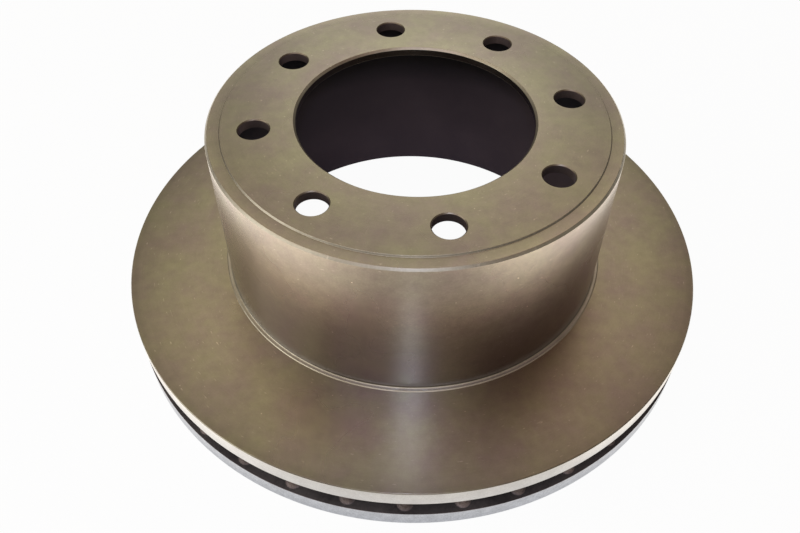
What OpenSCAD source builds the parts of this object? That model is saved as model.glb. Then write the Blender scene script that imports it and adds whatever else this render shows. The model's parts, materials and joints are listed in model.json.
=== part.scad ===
// Ventilated brake disc with a deep hat, cast and turned as one piece. Millimetres.
// The origin is the centre of the inboard friction face, and +Z points along the wheel's
// axis to the face that the wheel is bolted against.

/* [Friction ring] */
// Outside diameter of both friction plates
disc_d = 326; // [300:1:350]
// Thickness of the outboard plate, which carries the hat
outboard_t = 9.6; // [7:0.1:13]
// Thickness of the inboard plate
inboard_t = 9.7; // [7:0.1:13]
// Height of the air gap between the plates
gap_h = 10.7; // [8:0.1:16]
// Edge break on the outer edges of the friction faces
edge_break = 0.4; // [0.2:0.1:1]

/* [Hat] */
// Outside diameter of the hat
hat_d = 214; // [206:1:224]
// Thickness of the hat's side wall
hat_wall = 5; // [4:0.1:8]
// Height of the wheel face above the outboard friction face
hat_h = 89.7; // [60:0.1:110]
// Thickness of the flange at the wheel face
flange_t = 5; // [4:0.1:9]
// Width of the lower rim around the wheel face
rim_w = 7.6; // [4:0.1:9]
// How far the rim lies below the wheel face
rim_drop = 0.9; // [0.3:0.1:1.5]
// Width of the slope from the wheel face down to the rim
rim_slope = 0.5; // [0.2:0.1:1]
// Chamfer on the hat's outer edge
rim_chamfer = 1.1; // [0.5:0.1:2]
// Fillet inside the hat, between its wall and the flange
hat_fillet = 3; // [1:0.5:6]
// How far the hat's wall stops short of the inboard friction face
skirt_rise = 5.4; // [2:0.1:9]
// Round on the end of the hat's wall
skirt_chamfer = 0.6; // [0.3:0.1:1.2]

/* [Hat foot] */
// Fillet between the hat's wall and the ledge at its foot
foot_fillet = 0.9; // [0.5:0.1:2]
// Width of the unground ledge at the hat's foot, outside the fillet
ledge_w = 1; // [0.5:0.1:3]
// Height of the ledge above the friction face, and the width of its bevel
ledge_h = 0.4; // [0.2:0.1:0.8]

/* [Centre bore and wheel bolts] */
// Diameter of the centre bore, which the hub's spigot fills
bore_d = 123.4; // [100:0.1:130]
// Chamfer at the bore's outer edge
bore_chamfer = 1.1; // [0.3:0.1:1.5]
// Break on the bore's inner edge
bore_back_break = 0.3; // [0.1:0.1:0.8]
// Number of wheel bolt holes
bolt_n = 8; // [5:1:10]
// Diameter of the circle through the bolt holes
bolt_pcd = 165.1; // [152:0.1:175]
// Diameter of a bolt hole
bolt_d = 15.9; // [13:0.1:18]
// Countersink at the outer edge of a bolt hole
bolt_chamfer = 0.5; // [0.2:0.1:1]
// Angle of the first bolt hole from +X
bolt_phase = 11; // [0:0.5:45]

/* [Ventilation] */
// Number of vanes between the plates
vane_n = 36; // [24:1:44]
// Thickness of a vane's web
vane_t = 5.2; // [4:0.1:6]
// Fillet between a vane and each plate
vane_fillet = 2; // [0.5:0.1:2.4]
// How far the vanes stop short of the plates' outer edge
vane_setback = 1; // [0.5:0.1:6]
// How far the vanes stop short of the inboard plate's inner edge
vane_inset = 2; // [1:0.5:6]
// Angle of the first vane from +X
vane_phase = -0.5; // [-5:0.5:5]
// Radial width of the air inlet between the hat's wall and the inboard plate
inlet_w = 10; // [6:0.5:14]
// Fillet under the outboard plate, where it leaves the hat's wall
inlet_fillet = 2; // [1:0.5:3]
// Bevel at the inlet's edge, between the inboard plate's inner wall and its vented side
inlet_bevel = 1.5; // [0.5:0.1:2.5]

/* [Hidden] */
$fn = 180;

disc_r = disc_d / 2;
hat_r = hat_d / 2;
hat_in_r = hat_r - hat_wall;
pad_r = hat_r - rim_w;
bore_r = bore_d / 2;
inboard_in_r = hat_r + inlet_w;
gap_top = inboard_t + gap_h;
disc_t = gap_top + outboard_t;
wheel_z = disc_t + hat_h;
rim_z = wheel_z - rim_drop;
flange_z = wheel_z - flange_t;
ledge_r = hat_r + foot_fillet + ledge_w;
vane_half = vane_t / 2;
vane_foot = vane_half + vane_fillet;
vane_in_x = inboard_in_r + vane_inset + vane_foot;
vane_out_x = disc_r - vane_setback - vane_foot;
// How far a vane reaches into the plates, and a cutter past the face that it opens
bite = 0.5;

// Fills the corner at [r, z] with a concave fillet that opens towards [r_side, z_side].
module fillet(r, z, radius, r_side, z_side) {
    difference() {
        translate([min(r - bite * r_side, r + radius * r_side),
                   min(z - bite * z_side, z + radius * z_side)])
            square(radius + bite);
        translate([r + radius * r_side, z + radius * z_side]) circle(radius, $fn = 48);
    }
}

// Half section of the hat: its wall with the skirt below the outboard plate, the wheel
// face with its lower rim, and the flange down to the centre bore.
module hat_section() {
    polygon([
        [hat_in_r, skirt_rise + skirt_chamfer],
        [hat_in_r + skirt_chamfer, skirt_rise],
        [hat_r - skirt_chamfer, skirt_rise],
        [hat_r, skirt_rise + skirt_chamfer],
        [hat_r, rim_z - rim_chamfer],
        [hat_r - rim_chamfer, rim_z],
        [pad_r + rim_slope, rim_z],
        [pad_r, wheel_z],
        [bore_r + bore_chamfer, wheel_z],
        [bore_r, wheel_z - bore_chamfer],
        [bore_r, flange_z + bore_back_break],
        [bore_r + bore_back_break, flange_z],
        [hat_in_r, flange_z]
    ]);
    fillet(hat_in_r, flange_z, hat_fillet, -1, -1);
}

// Half section of the outboard plate, which grows out of the hat's foot over a narrow ledge
// that the grinding of the friction face leaves standing.
module outboard_section() {
    polygon([
        [hat_r - bite, gap_top],
        [disc_r, gap_top],
        [disc_r, disc_t - edge_break],
        [disc_r - edge_break, disc_t],
        [ledge_r + ledge_h, disc_t],
        [ledge_r, disc_t + ledge_h],
        [hat_r - bite, disc_t + ledge_h]
    ]);
    fillet(hat_r, disc_t + ledge_h, foot_fillet, 1, 1);
    fillet(hat_r, gap_top, inlet_fillet, 1, -1);
}

// Half section of the inboard plate, which only the vanes hold.
module inboard_section() {
    polygon([
        [inboard_in_r, edge_break],
        [inboard_in_r + edge_break, 0],
        [disc_r - edge_break, 0],
        [disc_r, edge_break],
        [disc_r, inboard_t],
        [inboard_in_r + inlet_bevel, inboard_t],
        [inboard_in_r, inboard_t - inlet_bevel]
    ]);
}

// Half section of a vane, from its middle plane out: a web with a fillet into each plate.
module vane_section() {
    translate([0, inboard_t - bite]) square([vane_half, gap_h + 2 * bite]);
    fillet(vane_half, inboard_t, vane_fillet, 1, 1);
    fillet(vane_half, gap_top, vane_fillet, 1, -1);
}

// One vane along +X: a straight web with a round nose at each end, filleted all the way round.
module vane() {
    translate([vane_in_x, 0, 0])
        rotate([90, 0, 90])
        linear_extrude(vane_out_x - vane_in_x)
        union() {
            vane_section();
            mirror([1, 0]) vane_section();
        }
    for (x = [vane_in_x, vane_out_x])
        translate([x, 0, 0]) rotate_extrude($fn = 32) vane_section();
}

module bolt_hole() {
    translate([0, 0, flange_z - bite]) cylinder(d = bolt_d, h = flange_t + 2 * bite);
    translate([0, 0, wheel_z - bolt_chamfer])
        cylinder(r1 = bolt_d / 2, r2 = bolt_d / 2 + bolt_chamfer + bite, h = bolt_chamfer + bite);
}

module brake_disc() {
    color([0.59, 0.54, 0.46])
    difference() {
        union() {
            rotate_extrude() {
                hat_section();
                outboard_section();
            }
            rotate_extrude() inboard_section();
            for (i = [0 : vane_n - 1]) rotate([0, 0, vane_phase + i * 360 / vane_n]) vane();
        }
        for (i = [0 : bolt_n - 1])
            rotate([0, 0, bolt_phase + i * 360 / bolt_n]) translate([bolt_pcd / 2, 0, 0]) bolt_hole();
    }
}

brake_disc();
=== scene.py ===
# Brake disc: a ventilated iron casting with a deep hat, turned and ground, on a white studio floor
import json

from math import atan2, cos, pi, radians, sin

import bmesh
import bpy
from mathutils import Matrix, Vector


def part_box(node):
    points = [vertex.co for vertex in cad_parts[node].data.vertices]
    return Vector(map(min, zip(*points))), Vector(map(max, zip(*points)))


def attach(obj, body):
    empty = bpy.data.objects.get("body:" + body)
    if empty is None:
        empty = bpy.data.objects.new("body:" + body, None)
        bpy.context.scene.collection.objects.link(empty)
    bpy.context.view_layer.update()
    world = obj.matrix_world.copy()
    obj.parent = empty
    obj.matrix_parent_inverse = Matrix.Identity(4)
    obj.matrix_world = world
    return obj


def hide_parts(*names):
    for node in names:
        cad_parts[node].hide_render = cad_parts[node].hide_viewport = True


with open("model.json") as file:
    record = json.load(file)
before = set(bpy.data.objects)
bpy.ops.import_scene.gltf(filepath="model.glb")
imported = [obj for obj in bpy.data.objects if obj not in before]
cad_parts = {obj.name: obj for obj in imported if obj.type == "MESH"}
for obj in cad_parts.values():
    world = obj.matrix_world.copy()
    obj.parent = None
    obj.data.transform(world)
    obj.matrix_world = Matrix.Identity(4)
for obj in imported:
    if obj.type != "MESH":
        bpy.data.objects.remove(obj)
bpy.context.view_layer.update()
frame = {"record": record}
scene = bpy.context.scene
mounts = {mount["name"]: mount for mount in frame["record"]["mounts"]}
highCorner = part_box("brake_disc")[1]

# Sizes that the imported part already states, in metres
disc = {
    "radius": highCorner.x,
    "top": mounts["outboard_friction_face"]["pos_m"][2],
    "wheelFace": mounts["wheel_face"]["pos_m"][2],
    "hubFace": mounts["hub_face"]["pos_m"][2],
    "boreRadius": mounts["centre_bore"]["dims"]["r_mm"] / 1000,
    "boltCircle": mounts["wheel_bolts"]["dims"]["pcd_mm"] / 2000,
    "boltCount": mounts["wheel_bolts"]["dims"]["count"],
    "boltRadius": mounts["wheel_bolts"]["dims"]["hole_r_mm"] / 1000,
}
print("frame loaded, disc", round(disc["radius"] * 2, 4), "m across")


# Camera
view = {
    "elevation": 0.7987,  # radians above the friction face, seen from -Y
    "roll": 0.0206,
    "distance": 0.45921,  # to the middle of the outboard friction face
    "focalPixels": 767.88,
    "axisX": 413.28,  # where the view axis meets the picture, in pixels
    "axisY": 235.22,
    "width": 800,
    "height": 533,
    "sensor": 36,
    "nearest": 0.01,
}


def addCamera():
    cosE, sinE = cos(view["elevation"]), sin(view["elevation"])
    cosR, sinR = cos(view["roll"]), sin(view["roll"])
    back = Vector((0, -cosE, sinE))
    right = Vector((cosR, sinR * sinE, sinR * cosE))
    up = Vector((-sinR, cosR * sinE, cosR * cosE))
    data = bpy.data.cameras.new("camera")
    camera = bpy.data.objects.new("camera", data)
    scene.collection.objects.link(camera)
    turn = Matrix((right, up, back)).transposed().to_4x4()
    middle = Vector((0, 0, disc["top"]))
    camera.matrix_world = Matrix.Translation(middle + back * view["distance"]) @ turn
    data.sensor_width = view["sensor"]
    data.lens = view["focalPixels"] / view["width"] * view["sensor"]
    data.shift_x = (view["width"] / 2 - view["axisX"]) / view["width"]
    data.shift_y = (view["axisY"] - view["height"] / 2) / view["width"]
    data.clip_start = view["nearest"]
    scene.camera = camera


addCamera()


# Small modelling helpers
tiny = 1e-6  # metres within which two places count as one


def editNew(name):
    # the primitive just added gets its name and opens in edit mode
    obj = bpy.context.object
    obj.name = obj.data.name = name
    bpy.ops.object.mode_set(mode="EDIT")
    return obj


def pickVerts(obj, test):
    bpy.ops.mesh.select_mode(type="VERT")
    bpy.ops.mesh.select_all(action="DESELECT")
    mesh = bmesh.from_edit_mesh(obj.data)
    for vert in mesh.verts:
        vert.select = test(vert.co)
    mesh.select_flush_mode()
    bmesh.update_edit_mesh(obj.data)


def pickObject(obj):
    bpy.ops.object.select_all(action="DESELECT")
    bpy.context.view_layer.objects.active = obj
    obj.select_set(True)


def applyModifier(obj, kind, **settings):
    pickObject(obj)
    modifier = obj.modifiers.new(kind.lower(), kind)
    for key, value in settings.items():
        setattr(modifier, key, value)
    bpy.ops.object.modifier_apply(modifier=modifier.name)


def placeInMesh(obj):
    pickObject(obj)
    bpy.ops.object.transform_apply(location=True, rotation=True, scale=True)


def copyAround(count):
    # the mesh in edit mode is repeated in even steps about the disc's axis
    bpy.ops.mesh.spin(
        steps=count - 1, angle=2 * pi * (count - 1) / count,
        center=(0, 0, 0), axis=(0, 0, 1), dupli=True,
    )


# The turned body: hat, outboard plate and inboard plate
body = {
    "turns": 288,  # facets around the axis
    "outboardThick": 0.0096,
    "inboardThick": 0.0097,
    "hatRadius": 0.107,
    "hatWall": 0.005,
    "hatFillet": 0.003,
    "rimWidth": 0.0076,
    "rimDrop": 0.0009,
    "rimSlope": 0.0005,
    "rimChamfer": 0.0011,
    "skirtRise": 0.0054,
    "skirtChamfer": 0.0006,
    "footFillet": 0.0009,
    "ledgeWidth": 0.001,
    "ledgeHeight": 0.0004,
    "boreChamfer": 0.0011,
    "boreBack": 0.0003,
    "edgeBreak": 0.0004,
    "inletWidth": 0.010,
    "inletFillet": 0.002,
    "inletBevel": 0.0015,
    "softEdge": 0.00012,  # round left by the tool on every turned edge
    "softSteps": 2,
    "filletSteps": 6,
    "creaseAngle": radians(35),  # edges bent further than this stay sharp
}
gapTop = disc["top"] - body["outboardThick"]
inboardEdge = body["hatRadius"] + body["inletWidth"]


def drawSection(name, points, fillets):
    # A closed outline in the XZ plane, drawn point by point, its corners rounded by vertex bevels
    bpy.ops.object.select_all(action="DESELECT")
    bpy.ops.mesh.primitive_plane_add(size=0.01)
    obj = editNew(name)
    bpy.ops.mesh.select_all(action="SELECT")
    bpy.ops.mesh.merge(type="CENTER")
    bpy.ops.transform.translate(value=(points[0][0], 0, points[0][1]))
    for here, there in zip(points, points[1:]):
        step = (there[0] - here[0], 0, there[1] - here[1])
        bpy.ops.mesh.extrude_vertices_move(TRANSFORM_OT_translate={"value": step})
    bpy.ops.mesh.select_all(action="SELECT")
    bpy.ops.mesh.edge_face_add()
    bpy.ops.mesh.delete(type="ONLY_FACE")
    filleted = [corner for corner, radius in fillets]
    soft = [point for point in points if point not in filleted]
    rounds = [(soft, body["softEdge"], body["softSteps"])]
    rounds += [([corner], radius, body["filletSteps"]) for corner, radius in fillets]
    for corners, radius, steps in rounds:
        pickVerts(obj, lambda co: any(abs(co.x - r) + abs(co.z - z) < tiny for r, z in corners))
        bpy.ops.mesh.bevel(offset=radius, offset_type="OFFSET", segments=steps, affect="VERTICES")
    return obj


def turnSection(obj):
    # One full turn about the disc's axis closes on its own start
    bpy.ops.mesh.select_all(action="SELECT")
    bpy.ops.mesh.spin(steps=body["turns"], angle=2 * pi, center=(0, 0, 0), axis=(0, 0, 1))
    bpy.ops.mesh.select_all(action="SELECT")
    bpy.ops.mesh.remove_doubles(threshold=tiny)
    bpy.ops.mesh.normals_make_consistent(inside=False)
    bpy.ops.object.mode_set(mode="OBJECT")
    placeInMesh(obj)
    return obj


def makeHat():
    hatR, hatIn = body["hatRadius"], body["hatRadius"] - body["hatWall"]
    discR, top, wheel, hub = disc["radius"], disc["top"], disc["wheelFace"], disc["hubFace"]
    bore, skirt, rimZ = disc["boreRadius"], body["skirtRise"], disc["wheelFace"] - body["rimDrop"]
    padR = hatR - body["rimWidth"]
    ledge, ledgeZ = hatR + body["footFillet"] + body["ledgeWidth"], top + body["ledgeHeight"]
    cut, chamfer, brk = body["skirtChamfer"], body["rimChamfer"], body["edgeBreak"]
    inletCorner, footCorner, roofCorner = (hatR, gapTop), (hatR, ledgeZ), (hatIn, hub)
    points = [
        (hatIn, skirt + cut), (hatIn + cut, skirt), (hatR - cut, skirt), (hatR, skirt + cut),
        inletCorner, (discR, gapTop), (discR, top - brk), (discR - brk, top),
        (ledge + body["ledgeHeight"], top), (ledge, ledgeZ), footCorner,
        (hatR, rimZ - chamfer), (hatR - chamfer, rimZ),
        (padR + body["rimSlope"], rimZ), (padR, wheel),
        (bore + body["boreChamfer"], wheel), (bore, wheel - body["boreChamfer"]),
        (bore, hub + body["boreBack"]), (bore + body["boreBack"], hub), roofCorner,
    ]
    fillets = [
        (inletCorner, body["inletFillet"]),
        (footCorner, body["footFillet"]),
        (roofCorner, body["hatFillet"]),
    ]
    return turnSection(drawSection("hat", points, fillets))


def makeInboardPlate():
    edge, discR, thick = inboardEdge, disc["radius"], body["inboardThick"]
    brk, bevel = body["edgeBreak"], body["inletBevel"]
    points = [
        (edge, brk), (edge + brk, 0), (discR - brk, 0), (discR, brk),
        (discR, thick), (edge + bevel, thick), (edge, thick - bevel),
    ]
    return turnSection(drawSection("inboardPlate", points, []))


# The vanes between the plates
vane = {
    "count": 36,
    "firstAngle": radians(-0.5),
    "thick": 0.0052,
    "fillet": 0.002,  # into each plate
    "filletSteps": 6,
    "setback": 0.001,  # from the plates' outer edge
    "inset": 0.002,  # from the inboard plate's inner edge
    "sunk": 0.00002,  # the fillets' feet lie this far inside the plates
    "bite": 0.0005,  # reach into the plates, for the union
    "noseFacets": 24,
}


def makeVanes():
    half, fillet, bite = vane["thick"] / 2, vane["fillet"], vane["bite"]
    outer = disc["radius"] - vane["setback"] - half - fillet
    inner = inboardEdge + vane["inset"] + half + fillet
    middle = (inner + outer) / 2
    low, high = body["inboardThick"] - vane["sunk"], gapTop + vane["sunk"]
    bpy.ops.object.select_all(action="DESELECT")
    bpy.ops.mesh.primitive_cylinder_add(
        vertices=vane["noseFacets"], radius=half, depth=high - low - 2 * fillet,
        location=(0, 0, 0), rotation=(0, 0, pi / vane["noseFacets"]),
    )
    placeInMesh(bpy.context.object)
    obj = editNew("vanes")
    bpy.ops.mesh.select_all(action="SELECT")
    bpy.ops.transform.translate(value=(outer, 0, (low + high) / 2))
    pickVerts(obj, lambda co: co.x < outer)
    bpy.ops.transform.translate(value=(inner - outer, 0, 0))
    # each end of the web grows in steps along its fillet, and then straight into the plate
    leans = [step / vane["filletSteps"] * pi / 2 for step in range(1, vane["filletSteps"] + 1)]
    rings = [(fillet * sin(lean), half + fillet * (1 - cos(lean))) for lean in leans]
    rings.append((fillet + bite, half + fillet))
    for end, way in ((high, 1), (low, -1)):
        reach, width = 0, half
        for newReach, newWidth in rings:
            level = end - way * (fillet - reach)
            pickVerts(obj, lambda co: abs(co.z - level) < tiny)
            bpy.ops.mesh.extrude_region_move(
                TRANSFORM_OT_translate={"value": (0, 0, way * (newReach - reach))}
            )
            level = end - way * (fillet - newReach)
            grown = newWidth / width
            for centre, side in ((outer, 1), (inner, -1)):
                pickVerts(obj, lambda co: abs(co.z - level) < tiny and (co.x - middle) * side > 0)
                bpy.ops.transform.resize(
                    value=(grown, grown, 1), center_override=(centre, 0, level)
                )
            reach, width = newReach, newWidth
    bpy.ops.mesh.select_all(action="SELECT")
    bpy.ops.mesh.normals_make_consistent(inside=False)
    bpy.ops.transform.rotate(value=-vane["firstAngle"], orient_axis="Z", center_override=(0, 0, 0))
    copyAround(vane["count"])
    bpy.ops.object.mode_set(mode="OBJECT")
    return obj


# The bolt holes
boltHole = {"firstAngle": radians(11), "facets": 64, "chamfer": 0.0005, "past": 0.002}


def makeBoltCutters():
    radius, chamfer, past = disc["boltRadius"], boltHole["chamfer"], boltHole["past"]
    low, high = disc["hubFace"] - past, disc["wheelFace"] - chamfer
    bpy.ops.object.select_all(action="DESELECT")
    bpy.ops.mesh.primitive_cylinder_add(
        vertices=boltHole["facets"], radius=radius, depth=high - low,
        location=(0, 0, (low + high) / 2),
    )
    placeInMesh(bpy.context.object)
    obj = editNew("boltCutters")
    pickVerts(obj, lambda co: co.z > high - tiny)
    bpy.ops.mesh.extrude_region_move(TRANSFORM_OT_translate={"value": (0, 0, chamfer + past)})
    grown = (radius + chamfer + past) / radius
    bpy.ops.transform.resize(value=(grown, grown, 1), center_override=(0, 0, high))
    bpy.ops.mesh.select_all(action="SELECT")
    bpy.ops.mesh.normals_make_consistent(inside=False)
    angle, out = boltHole["firstAngle"], disc["boltCircle"]
    bpy.ops.transform.translate(value=(out * cos(angle), out * sin(angle), 0))
    copyAround(disc["boltCount"])
    bpy.ops.object.mode_set(mode="OBJECT")
    return obj


def makeCasting():
    casting, inboard = makeHat(), makeInboardPlate()
    vanes, cutters = makeVanes(), makeBoltCutters()
    for tool, operation in ((vanes, "UNION"), (inboard, "UNION"), (cutters, "DIFFERENCE")):
        applyModifier(casting, "BOOLEAN", object=tool, operation=operation, solver="EXACT")
        bpy.data.objects.remove(tool)
    casting.name = casting.data.name = "casting"
    bpy.ops.object.shade_smooth_by_angle(angle=body["creaseAngle"])
    # the wide flat faces keep their own normals beside the small rounds
    applyModifier(casting, "WEIGHTED_NORMAL", weight=100, keep_sharp=True)
    print("casting modelled,", len(casting.data.polygons), "faces")
    return casting


casting = makeCasting()
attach(casting, "root")
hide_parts("brake_disc")


# Finishes: colours as in plain white light, some with painted light and shade in them, sizes in
# metres
groundIron = {  # the friction faces
    "olive": (0.328, 0.299, 0.208, 1),
    "brown": (0.300, 0.244, 0.212, 1),
    "patchScale": 40,
    "grain": 0.04,
    "mottle": 0.07,
    "lineRelief": 0.00001,
    "roughness": 0.30,
    "anisotropic": 0.75,
    "coat": 0.4,  # thin oil left on the metal
    "coatRoughness": 0.35,
    "coatIor": 1.5,
    # tone by distance from the axis, lighter at the inner edge of each ground ring: partly the
    # metal's own tone, partly painted highlight near the bore and the hat's foot and painted shade
    # towards the outer rim
    "ringTones": (
        (0.062, 1.16), (0.074, 1.1), (0.09, 1.01), (0.1, 1.02), (0.1085, 1.4), (0.13, 1.33),
        (0.15, 1.08), (0.158, 0.95), (0.1605, 0.84),
    ),
    "heightTones": None,
    "speckTone": 1.7,
}
wheelIron = {  # the wheel face and its rim, cut less coarsely
    **groundIron,
    "roughness": 0.26,
    "anisotropic": 0.15,
}
turnedIron = {  # the hat's wall
    "olive": (0.285, 0.244, 0.166, 1),
    "brown": (0.258, 0.198, 0.154, 1),
    "patchScale": 40,
    "grain": 0.09,
    "mottle": 0.1,
    "lineRelief": 0.00001,
    "roughness": 0.28,
    "anisotropic": 0.75,
    "coat": 1,
    "coatRoughness": 0.24,
    "coatIor": 1.8,
    "ringTones": None,
    # painted reflection and shade: the wall is painted lightest at its top and darkest at its foot
    "heightTones": (
        (0.031, (0.25, 0.2, 0.21)), (0.045, (0.38, 0.31, 0.34)), (0.06, (0.48, 0.41, 0.44)),
        (0.072, (0.72, 0.64, 0.67)), (0.084, (1.1, 1.02, 1.05)), (0.094, (1.36, 1.31, 1.31)),
        (0.104, (1.42, 1.4, 1.38)), (0.114, 1.48), (0.118, 1.65),
    ),
    "speckTone": 2.6,
}
boreIron = {  # the centre bore's wall, a darker copy of the wall's finish: painted shade
    **turnedIron,
    "olive": (0.15, 0.12, 0.09, 1),
    "brown": (0.13, 0.10, 0.08, 1),
    "heightTones": None,
}
topBand = {  # the outboard plate's turned edge, bare metal whose near-white base is partly a painted reflection of the floor
    "olive": (0.95, 0.91, 0.85, 1),
    "brown": (0.84, 0.80, 0.75, 1),
    "patchScale": 90,
    "grain": 0.08,
    "mottle": 0.03,
    "lineRelief": 0.00002,
    "roughness": 0.32,
    "anisotropic": 0,
    "coat": 0,
    "coatRoughness": 0.3,
    "coatIor": 1.5,
    "ringTones": None,
    "heightTones": None,
    "speckTone": 0.75,
}
lowBand = {  # the inboard plate's edge, slightly pitted; its near-white, cooler base is partly a painted reflection of the shaded floor beside the disc
    **topBand,
    "olive": (0.88, 0.87, 0.87, 1),
    "brown": (0.72, 0.71, 0.71, 1),
    "patchScale": 220,
    "grain": 0.16,
    "mottle": 0.05,
    "speckTone": 0.6,
}
edgeIron = {  # chamfers, and the rounds at the hat's foot: bare metal, its lighter base partly a painted highlight
    **topBand,
    "olive": (0.50, 0.44, 0.34, 1),
    "brown": (0.40, 0.345, 0.26, 1),
    "patchScale": 60,
    "lineRelief": 0.00001,
    "roughness": 0.42,
    "speckTone": 1.3,
}
ledgeIron = {  # the ledge's flat, a lighter copy: bare metal with a painted highlight in part
    **edgeIron,
    "olive": (0.62, 0.57, 0.48, 1),
    "brown": (0.54, 0.49, 0.41, 1),
}
sinkIron = {  # countersinks, a darker copy that dims their highlights: painted shade
    **edgeIron,
    "olive": (0.25, 0.2, 0.145, 1),
    "brown": (0.2, 0.16, 0.115, 1),
}
drilledIron = {  # the bolt holes' walls
    "light": (0.30, 0.225, 0.205, 1),
    "dark": (0.2, 0.15, 0.135, 1),
    "roughness": 0.42,
    "metallic": 0.8,
    "grainScale": 900,
    "grainRelief": 0.00005,
}
castSkin = {  # the core between the plates, very dark: dark cast skin with the vents' shade partly painted in
    "light": (0.1, 0.085, 0.078, 1),
    "dark": (0.036, 0.029, 0.027, 1),
    "roughness": 0.6,
    "metallic": 0.15,
    "grainScale": 700,
    "grainRelief": 0.00012,
}
noseIron = {  # the vanes' outer ends, a lighter copy of the cast skin: painted highlight
    **castSkin,
    "light": (0.32, 0.25, 0.225, 1),
    "dark": (0.1, 0.078, 0.07, 1),
    "metallic": 0.5,
    "grainRelief": 0.0001,
}
hatInside = {  # the hat's inner wall and the flange's underside
    "light": (0.135, 0.094, 0.100, 1),
    "dark": (0.105, 0.073, 0.080, 1),
    "patchScale": 30,
    "linePitch": 0.0012,
    "lineAround": 2.0,
    "lineRelief": 0.00003,
    "roughness": 0.5,
    "heightTones": (  # painted shadow, darkest under the flange
        (0.03, 1.0), (0.045, 0.85), (0.06, 0.76), (0.07, 0.66),
        (0.078, 0.36), (0.084, 0.16), (0.09, 0.1),
    ),
}


def newMaterial(name):
    material = bpy.data.materials.new(name)
    material.use_nodes = True
    nodes, links = material.node_tree.nodes, material.node_tree.links
    return material, nodes, links, nodes["Principled BSDF"]


def mathNode(nodes, links, operation, first, second):
    node = nodes.new("ShaderNodeMath")
    node.operation = operation
    for socket, value in zip(node.inputs, (first, second)):
        if isinstance(value, (int, float)):
            socket.default_value = value
        else:
            links.new(value, socket)
    return node.outputs[0]


def vectorNode(nodes, links, operation, first, second=None):
    node = nodes.new("ShaderNodeVectorMath")
    node.operation = operation
    sockets = (node.inputs[0], node.inputs["Scale"] if operation == "SCALE" else node.inputs[1])
    for socket, value in zip(sockets, (first, second)):
        if isinstance(value, (tuple, float)):
            socket.default_value = value
        elif value is not None:
            links.new(value, socket)
    return node.outputs["Value"] if operation == "LENGTH" else node.outputs["Vector"]


def placeOf(nodes):
    return nodes.new("ShaderNodeTexCoord").outputs["Object"]


def partOf(nodes, links, place, axis):
    split = nodes.new("ShaderNodeSeparateXYZ")
    links.new(place, split.inputs[0])
    return split.outputs[axis]


def heightOf(nodes, links):
    return partOf(nodes, links, placeOf(nodes), "Z")


def outwardOf(nodes, links):
    # the way out from the disc's axis
    return vectorNode(nodes, links, "MULTIPLY", placeOf(nodes), (1, 1, 0))


def reachOf(nodes, links):
    # distance from the disc's axis
    return vectorNode(nodes, links, "LENGTH", outwardOf(nodes, links))


def ringPlace(nodes, links, pitch, around):
    # Tool lines run round the axis: a step per pitch outwards or upwards, slow changes round it
    place = nodes.new("ShaderNodeCombineXYZ")
    outAndUp = mathNode(nodes, links, "ADD", reachOf(nodes, links), heightOf(nodes, links))
    links.new(mathNode(nodes, links, "DIVIDE", outAndUp, pitch), place.inputs["Z"])
    heading = vectorNode(nodes, links, "NORMALIZE", outwardOf(nodes, links))
    spread = vectorNode(nodes, links, "MULTIPLY", heading, (around, around, 0))
    return vectorNode(nodes, links, "ADD", spread, place.outputs[0])


def noise(nodes, links, place, scale, detail, roughness=0.5):
    node = nodes.new("ShaderNodeTexNoise")
    node.inputs["Scale"].default_value = scale
    node.inputs["Detail"].default_value = detail
    node.inputs["Roughness"].default_value = roughness
    links.new(place, node.inputs["Vector"])
    return node.outputs["Fac"]


def toolLines(nodes, links, pitch, around, detail):
    return noise(nodes, links, ringPlace(nodes, links, pitch, around), 1, detail)


def blend(nodes, links, factor, first, second):
    node = nodes.new("ShaderNodeMix")
    node.data_type = "RGBA"
    sockets = (node.inputs["Factor"], node.inputs["A"], node.inputs["B"])
    for socket, value in zip(sockets, (factor, first, second)):
        if isinstance(value, (int, float, tuple)):
            socket.default_value = value
        else:
            links.new(value, socket)
    return node.outputs["Result"]


def span(nodes, links, value, fromLow, fromHigh, toLow, toHigh):
    node = nodes.new("ShaderNodeMapRange")
    for name, number in (
        ("From Min", fromLow), ("From Max", fromHigh), ("To Min", toLow), ("To Max", toHigh),
    ):
        node.inputs[name].default_value = number
    links.new(value, node.inputs["Value"])
    return node.outputs["Result"]


def rampOf(nodes, links, value, stops):
    # stops: a place from 0 to 1 and a colour or a grey each
    ramp = nodes.new("ShaderNodeValToRGB")
    elements = ramp.color_ramp.elements
    for index, (place, tone) in enumerate(stops):
        stop = elements[index] if index < 2 else elements.new(1)
        stop.position = place
        stop.color = (*tone, 1) if isinstance(tone, tuple) else (tone, tone, tone, 1)
    links.new(value, ramp.inputs["Fac"])
    return ramp.outputs["Color"]


def relief(nodes, links, height, distance):
    node = nodes.new("ShaderNodeBump")
    node.inputs["Distance"].default_value = distance
    links.new(height, node.inputs["Height"])
    return node.outputs["Normal"]


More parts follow.
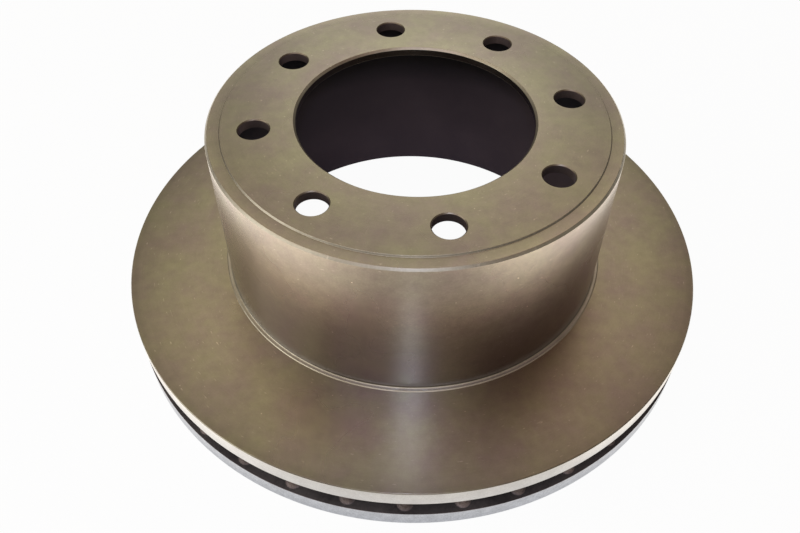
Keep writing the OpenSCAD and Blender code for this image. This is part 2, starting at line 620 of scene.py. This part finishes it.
# Marks that the metal picks up in handling
marks = {
    "speckScale": 260,  # one speck at most in each 4 mm
    "speckSize": 0.085,  # share of that cell
    "speckShare": 0.3,  # of the cells
    "bandPitch": 0.006,  # soft rings left by the tool
    "bandAround": 1.2,
    "bandShare": 0.12,
    "linePitch": 0.0006,
    "lineAround": 3.0,
    "grainScale": 1100,
    "mottleScale": 170,
    "scratchPitch": 0.0009,
    "scratchAround": 34,
    "scratchFrom": 0.69,  # only the highest lines of the noise
    "scratchFade": 0.08,
    "scratchTone": 1.6,
    "blueGain": 1.04,  # bare marks are a little cooler
    "lineShade": 0.95,
    "lineRange": (0.25, 0.75),  # the part of each noise that is used
    "cloudRange": (0.3, 0.7),
    "smudgeScale": 14,
    "smudgeRange": (0.35, 0.65),
    "smudgeDepth": 0.03,  # of the roughness, both ways
    "patchSpread": 0.17,  # half the passage from one patch colour to the other
    "castPatchScale": 60,
    "castGrainShare": 0.5,
    "castRange": (0.5, 1.0),
}


def specks(nodes, links):
    cells = nodes.new("ShaderNodeTexVoronoi")
    cells.inputs["Scale"].default_value = marks["speckScale"]
    links.new(placeOf(nodes), cells.inputs["Vector"])
    split = nodes.new("ShaderNodeSeparateColor")
    links.new(cells.outputs["Color"], split.inputs[0])
    size = mathNode(nodes, links, "MULTIPLY", split.outputs["Green"], marks["speckSize"])
    inside = mathNode(nodes, links, "LESS_THAN", cells.outputs["Distance"], size)
    chosen = mathNode(nodes, links, "LESS_THAN", split.outputs["Red"], marks["speckShare"])
    return mathNode(nodes, links, "MULTIPLY", inside, chosen)


def toneAlong(nodes, links, shade, tones, along):
    # the ramp holds places and tones from 0 to 1, so both are scaled down to it
    widest, brightest = 0.2, 2
    stops = []
    for place, tone in tones:
        colour = tone if isinstance(tone, tuple) else (tone,) * 3
        stops.append((place / widest, tuple(part / brightest for part in colour)))
    ramp = rampOf(nodes, links, mathNode(nodes, links, "DIVIDE", along, widest), stops)
    tint = vectorNode(nodes, links, "MULTIPLY", ramp, (brightest,) * 3)
    return vectorNode(nodes, links, "MULTIPLY", shade, tint)


def makeToolFinish(name, finish):
    material, nodes, links, shader = newMaterial(name)
    place = placeOf(nodes)
    patches = noise(nodes, links, place, finish["patchScale"], 4, 0.65)
    bands = toolLines(nodes, links, marks["bandPitch"], marks["bandAround"], 2)
    lines = toolLines(nodes, links, marks["linePitch"], marks["lineAround"], 3)
    grain = noise(nodes, links, place, marks["grainScale"], 3, 0.7)
    mottle = noise(nodes, links, place, marks["mottleScale"], 4, 0.6)
    scratches = toolLines(nodes, links, marks["scratchPitch"], marks["scratchAround"], 2)
    banded = mathNode(nodes, links, "MULTIPLY", bands, marks["bandShare"])
    mixed = mathNode(nodes, links, "ADD", patches, banded)
    middle, spread = (1 + marks["bandShare"]) / 2, marks["patchSpread"]
    patched = span(nodes, links, mixed, middle - spread, middle + spread, 0, 1)
    shade = blend(nodes, links, patched, finish["olive"], finish["brown"])
    darkLine, lightLine = marks["lineRange"]
    lined = rampOf(nodes, links, lines, ((darkLine, marks["lineShade"]), (lightLine, 1.0)))
    shade = vectorNode(nodes, links, "MULTIPLY", shade, lined)
    for cloud, depth in ((grain, finish["grain"]), (mottle, finish["mottle"])):
        uneven = span(nodes, links, cloud, *marks["cloudRange"], 1 - depth, 1 + depth)
        shade = vectorNode(nodes, links, "SCALE", shade, uneven)
    # painted light and shade: ring tones by distance from the axis, and light and shade by height
    for key, along in (("ringTones", reachOf), ("heightTones", heightOf)):
        if finish[key]:
            shade = toneAlong(nodes, links, shade, finish[key], along(nodes, links))
    scratchEnd = marks["scratchFrom"] + marks["scratchFade"]
    scratch = span(nodes, links, scratches, marks["scratchFrom"], scratchEnd, 0, 1)
    speck = specks(nodes, links)
    for mark, gain in ((scratch, marks["scratchTone"]), (speck, finish["speckTone"])):
        gains = (gain, gain, gain * marks["blueGain"])
        marked = vectorNode(nodes, links, "MULTIPLY", shade, gains)
        shade = blend(nodes, links, mark, shade, marked)
    links.new(shade, shader.inputs["Base Color"])
    shader.inputs["Metallic"].default_value = 1
    smudges = noise(nodes, links, place, marks["smudgeScale"], 3)
    rough, depth = finish["roughness"], marks["smudgeDepth"]
    worn = span(nodes, links, smudges, *marks["smudgeRange"], rough - depth, rough + depth)
    links.new(worn, shader.inputs["Roughness"])
    shader.inputs["Anisotropic"].default_value = finish["anisotropic"]
    shader.inputs["Anisotropic Rotation"].default_value = 0.25  # a quarter turn
    shader.inputs["Coat Weight"].default_value = finish["coat"]
    shader.inputs["Coat Roughness"].default_value = finish["coatRoughness"]
    shader.inputs["Coat IOR"].default_value = finish["coatIor"]
    links.new(relief(nodes, links, lines, finish["lineRelief"]), shader.inputs["Normal"])
    return material


def makeCastFinish(name, finish):
    material, nodes, links, shader = newMaterial(name)
    grain = noise(nodes, links, placeOf(nodes), finish["grainScale"], 4, 0.6)
    patches = noise(nodes, links, placeOf(nodes), marks["castPatchScale"], 3)
    grained = mathNode(nodes, links, "MULTIPLY", grain, marks["castGrainShare"])
    mixed = mathNode(nodes, links, "ADD", patches, grained)
    tone = span(nodes, links, mixed, *marks["castRange"], 0, 1)
    shade = blend(nodes, links, tone, finish["dark"], finish["light"])
    links.new(shade, shader.inputs["Base Color"])
    shader.inputs["Metallic"].default_value = finish["metallic"]
    shader.inputs["Roughness"].default_value = finish["roughness"]
    links.new(relief(nodes, links, grain, finish["grainRelief"]), shader.inputs["Normal"])
    return material


def makeInsideFinish():
    material, nodes, links, shader = newMaterial("hatInside")
    lines = toolLines(nodes, links, hatInside["linePitch"], hatInside["lineAround"], 3)
    patches = noise(nodes, links, placeOf(nodes), hatInside["patchScale"], 3)
    tone = span(nodes, links, patches, *marks["cloudRange"], 0, 1)
    shade = blend(nodes, links, tone, hatInside["dark"], hatInside["light"])
    # painted shadow under the flange, by height
    shade = toneAlong(nodes, links, shade, hatInside["heightTones"], heightOf(nodes, links))
    links.new(shade, shader.inputs["Base Color"])
    shader.inputs["Roughness"].default_value = hatInside["roughness"]
    links.new(relief(nodes, links, lines, hatInside["lineRelief"]), shader.inputs["Normal"])
    return material


# Each zone of the casting gets its finish by where its faces lie and which way they point
zoneLimits = {
    "gap": 0.0002,  # how far a face's middle may lie off its surface
    "level": 0.98,  # share of the normal along Z from which a face counts as level
    "sloping": 0.3,  # and from which as a chamfer
    "upright": 0.1,  # below it, as a wall
    "outward": 0.9,  # share of the normal away from the axis, for the outer walls
}


def zoneOf(centre, normal):
    reach = Vector((centre.x, centre.y)).length
    gap, level, sloping = zoneLimits["gap"], zoneLimits["level"], zoneLimits["sloping"]
    outward = (centre.x * normal.x + centre.y * normal.y) / reach
    angle = 2 * pi / disc["boltCount"]
    turn = (atan2(centre.y, centre.x) - boltHole["firstAngle"] + angle / 2) % angle - angle / 2
    fromHole = Vector((reach * cos(turn) - disc["boltCircle"], reach * sin(turn))).length
    ledgeEnd = body["hatRadius"] + body["footFillet"] + body["ledgeWidth"]
    if centre.z > disc["hubFace"] + body["boreBack"]:
        if reach < disc["boreRadius"] + gap and abs(normal.z) < zoneLimits["upright"]:
            return "bore"
        if fromHole < disc["boltRadius"] + boltHole["chamfer"] and abs(normal.z) < level:
            return "sink" if normal.z > sloping else "drilled"
    if reach < body["hatRadius"] - body["hatWall"] + gap and centre.z < disc["hubFace"] + gap:
        return "inside"
    if body["inboardThick"] - gap < centre.z < gapTop + gap:
        atNose = reach > disc["radius"] - vane["setback"] - vane["fillet"] - vane["thick"]
        return "nose" if atNose and abs(normal.z) < level else "cast"
    if reach < body["hatRadius"] + gap and centre.z < gapTop:
        return "cast"
    if reach < inboardEdge + gap and centre.z < body["inboardThick"]:
        return "cast"
    if reach < ledgeEnd and disc["top"] + gap < centre.z < disc["top"] + 2 * body["ledgeHeight"]:
        return "ledge" if normal.z > level else "edge"
    if reach > disc["radius"] - 2 * body["edgeBreak"] and normal.z > sloping:
        return "ground"
    if abs(normal.z) > level:
        return "wheel" if centre.z > disc["hubFace"] - gap else "ground"
    if outward > zoneLimits["outward"]:
        if abs(reach - body["hatRadius"]) < gap / 2 and centre.z > disc["top"]:
            return "turned"
        if reach > disc["radius"] - gap / 2:
            return "topBand" if centre.z > gapTop else "lowBand"
    return "edge"


def dressCasting():
    finishes = {
        "ground": makeToolFinish("groundIron", groundIron),
        "wheel": makeToolFinish("wheelIron", wheelIron),
        "turned": makeToolFinish("turnedIron", turnedIron),
        "bore": makeToolFinish("boreIron", boreIron),
        "topBand": makeToolFinish("topBand", topBand),
        "lowBand": makeToolFinish("lowBand", lowBand),
        "edge": makeToolFinish("edgeIron", edgeIron),
        "ledge": makeToolFinish("ledgeIron", ledgeIron),
        "sink": makeToolFinish("sinkIron", sinkIron),
        "drilled": makeCastFinish("drilledIron", drilledIron),
        "nose": makeCastFinish("noseIron", noseIron),
        "cast": makeCastFinish("castSkin", castSkin),
        "inside": makeInsideFinish(),
    }
    order = list(finishes)
    for name in order:
        casting.data.materials.append(finishes[name])
    count = {name: 0 for name in order}
    for face in casting.data.polygons:
        zone = zoneOf(face.center, face.normal)
        face.material_index = order.index(zone)
        count[zone] += 1
    print("finishes on", count)


dressCasting()


# Studio
studio = {
    "floorSize": 6,
    "paper": (0.8, 0.8, 0.8, 1),
    "floorGlow": 0.96,
    "floorInside": 0.14,  # nearer to the axis than this the paper keeps its own light
    "floorMiddle": (0, -0.02, 0),  # the disc's soft shadow falls a little to the front
    # mirrored floor by distance from that middle: in the disc's shadow, on the table, far away
    "floorTones": (
        (0.143, (0.52, 0.54, 0.58)), (0.157, (0.76, 0.76, 0.76)), (0.166, (0.62, 0.59, 0.55)),
        (0.19, (0.60, 0.55, 0.505)), (0.22, (0.67, 0.63, 0.58)), (0.45, (0.86, 0.84, 0.80)),
        (0.95, (0.4, 0.4, 0.4)),
    ),
    # the mirrored table grows brighter to both sides, between two places, up to a last gain
    "floorLeft": (0.06, 0.16, 2.6),
    "floorRight": (0.08, 0.16, 2.4),
    "floorNear": (0.168, 0.18, 0.12),  # but right by the disc only by the last share of it
    "skyStrength": 3.0,
    "skyTones": (  # by the height of the view, as shares of that strength
        (0.02, (0.11, 0.11, 0.11)), (0.3, (0.28, 0.275, 0.25)), (0.46, (0.30, 0.295, 0.27)),
        (0.53, (0.45, 0.44, 0.40)), (0.6, (0.40, 0.39, 0.345)), (0.65, (0.28, 0.27, 0.235)),
        (0.69, (0.24, 0.225, 0.19)), (0.75, (0.36, 0.33, 0.28)), (0.82, (0.30, 0.265, 0.225)),
        (0.95, (0.24, 0.212, 0.18)),
    ),
    # sideways places: low down the room is brightest in the middle
    "lowSides": (
        (-0.3, 0.3), (-0.22, 0.46), (-0.16, 0.92), (-0.1, 1.0),
        (0.1, 1.0), (0.15, 0.82), (0.2, 0.5), (0.3, 0.3),
    ),
    "midSides": (
        (-0.48, (0.84, 0.80, 0.71)), (-0.36, (0.50, 0.46, 0.38)), (-0.27, (0.70, 0.66, 0.55)),
        (-0.18, (0.86, 0.84, 0.76)), (0, (0.86, 0.86, 0.86)), (0.2, (1.0, 0.96, 0.90)),
        (0.3, (1.0, 0.91, 0.80)), (0.41, (0.16, 0.08, 0.07)),
    ),
    # high up it is dim in the middle, and far to the right it is dark and brown
    "highSides": (
        (-0.48, (0.84, 0.80, 0.71)), (-0.36, (0.52, 0.49, 0.41)), (-0.27, (0.72, 0.69, 0.58)),
        (-0.18, (1.0, 1.0, 0.93)), (-0.1, (0.8, 0.86, 0.92)), (0, (0.66, 0.7, 0.75)),
        (0.1, (0.82, 0.79, 0.87)), (0.2, (0.98, 0.91, 0.88)), (0.3, (0.84, 0.76, 0.67)),
        (0.41, (0.16, 0.08, 0.07)),
    ),
    "lowToMid": (0.57, 0.64),  # heights between which one row of places passes into the next
    "midToHigh": (0.73, 0.8),
    "flashPower": 0.27,
    "flashColour": (0.5, 0.66, 1.0),
    "flashPlace": (0, -0.34, 0.42),
    "flashSize": 0.03,
    "windowPower": 0.6,
    "windowColour": (0.72, 0.68, 1.0),
    "windowPlace": (-0.12, -0.38, 0.7),
    "windowSize": 0.5,
    "softboxPower": 3.8,
    "softboxColour": (0.95, 0.98, 1.0),
    "softboxPlace": (-0.95, -0.35, 0.45),
    "softboxSize": 0.8,
}


def addFloor():
    bpy.ops.object.select_all(action="DESELECT")
    bpy.ops.mesh.primitive_plane_add(size=studio["floorSize"], location=(0, 0, 0))
    floor = bpy.context.object
    floor.name = "floor"
    material = bpy.data.materials.new("floorPaper")
    material.use_nodes = True
    nodes, links = material.node_tree.nodes, material.node_tree.links
    nodes.clear()
    output, mix = nodes.new("ShaderNodeOutputMaterial"), nodes.new("ShaderNodeMixShader")
    paper = nodes.new("ShaderNodeBsdfDiffuse")
    glow = nodes.new("ShaderNodeEmission")
    paper.inputs["Color"].default_value = studio["paper"]
    path = nodes.new("ShaderNodeLightPath")
    outside = mathNode(nodes, links, "GREATER_THAN", reachOf(nodes, links), studio["floorInside"])
    mirrored = mathNode(
        nodes, links, "MAXIMUM", path.outputs["Is Glossy Ray"], path.outputs["Is Transmission Ray"]
    )
    fromMiddle = vectorNode(nodes, links, "SUBTRACT", placeOf(nodes), studio["floorMiddle"])
    away = vectorNode(nodes, links, "LENGTH", fromMiddle)
    tones = rampOf(nodes, links, away, studio["floorTones"])
    across = partOf(nodes, links, placeOf(nodes), "X")
    leftFrom, leftTo, left = studio["floorLeft"]
    rightFrom, rightTo, right = studio["floorRight"]
    nearFrom, nearTo, nearShare = studio["floorNear"]
    toLeft = span(nodes, links, across, -leftFrom, -leftTo, 0, left - 1)
    toRight = span(nodes, links, across, rightFrom, rightTo, 0, right - 1)
    sides = mathNode(nodes, links, "ADD", toLeft, toRight)
    near = span(nodes, links, reachOf(nodes, links), nearFrom, nearTo, nearShare, 1)
    sides = mathNode(nodes, links, "ADD", mathNode(nodes, links, "MULTIPLY", sides, near), 1.0)
    # the camera sees white paper, the metal mirrors the toned table
    seen = path.outputs["Is Camera Ray"]
    whole = mathNode(nodes, links, "MULTIPLY", mirrored, outside)
    lit = mathNode(nodes, links, "MULTIPLY", seen, studio["floorGlow"])
    share = mathNode(nodes, links, "MAXIMUM", lit, whole)
    links.new(blend(nodes, links, seen, tones, (1.0, 1.0, 1.0, 1)), glow.inputs["Color"])
    links.new(blend(nodes, links, seen, sides, (1.0, 1.0, 1.0, 1)), glow.inputs["Strength"])
    links.new(share, mix.inputs[0])
    links.new(paper.outputs[0], mix.inputs[1])
    links.new(glow.outputs[0], mix.inputs[2])
    links.new(mix.outputs[0], output.inputs[0])
    floor.data.materials.append(material)


def addWorld():
    world = bpy.data.worlds.new("studio")
    scene.world = world
    world.use_nodes = True
    nodes, links = world.node_tree.nodes, world.node_tree.links
    background = nodes["Background"]
    heading = nodes.new("ShaderNodeTexCoord").outputs["Generated"]
    height = partOf(nodes, links, heading, "Z")
    sky = rampOf(nodes, links, height, studio["skyTones"])
    sky = vectorNode(nodes, links, "SCALE", sky, studio["skyStrength"])
    # a ramp starts at 0, so sideways places are read half a unit further on
    sideways = mathNode(nodes, links, "ADD", partOf(nodes, links, heading, "X"), 0.5)
    low, mid, high = (
        rampOf(nodes, links, sideways, [(0.5 + place, tone) for place, tone in studio[name]])
        for name in ("lowSides", "midSides", "highSides")
    )
    toMid = span(nodes, links, height, *studio["lowToMid"], 0, 1)
    toHigh = span(nodes, links, height, *studio["midToHigh"], 0, 1)
    aside = blend(nodes, links, toHigh, blend(nodes, links, toMid, low, mid), high)
    sky = vectorNode(nodes, links, "MULTIPLY", sky, aside)
    seen = nodes.new("ShaderNodeLightPath").outputs["Is Camera Ray"]
    links.new(blend(nodes, links, seen, sky, (1.0, 1.0, 1.0, 1)), background.inputs["Color"])


def addLamp(name, shape):
    light = bpy.data.lights.new(name, "AREA")
    light.shape, light.size = shape, studio[name + "Size"]
    light.energy, light.color = studio[name + "Power"], studio[name + "Colour"]
    lamp = bpy.data.objects.new(name, light)
    scene.collection.objects.link(lamp)
    place, target = Vector(studio[name + "Place"]), Vector((0, 0, disc["wheelFace"] / 2))
    lamp.location = place
    lamp.rotation_euler = (place - target).to_track_quat("Z", "Y").to_euler()


addFloor()
addWorld()
addLamp("flash", "DISK")
addLamp("window", "SQUARE")
addLamp("softbox", "SQUARE")
scene.view_settings.view_transform = "Standard"
print("studio ready")
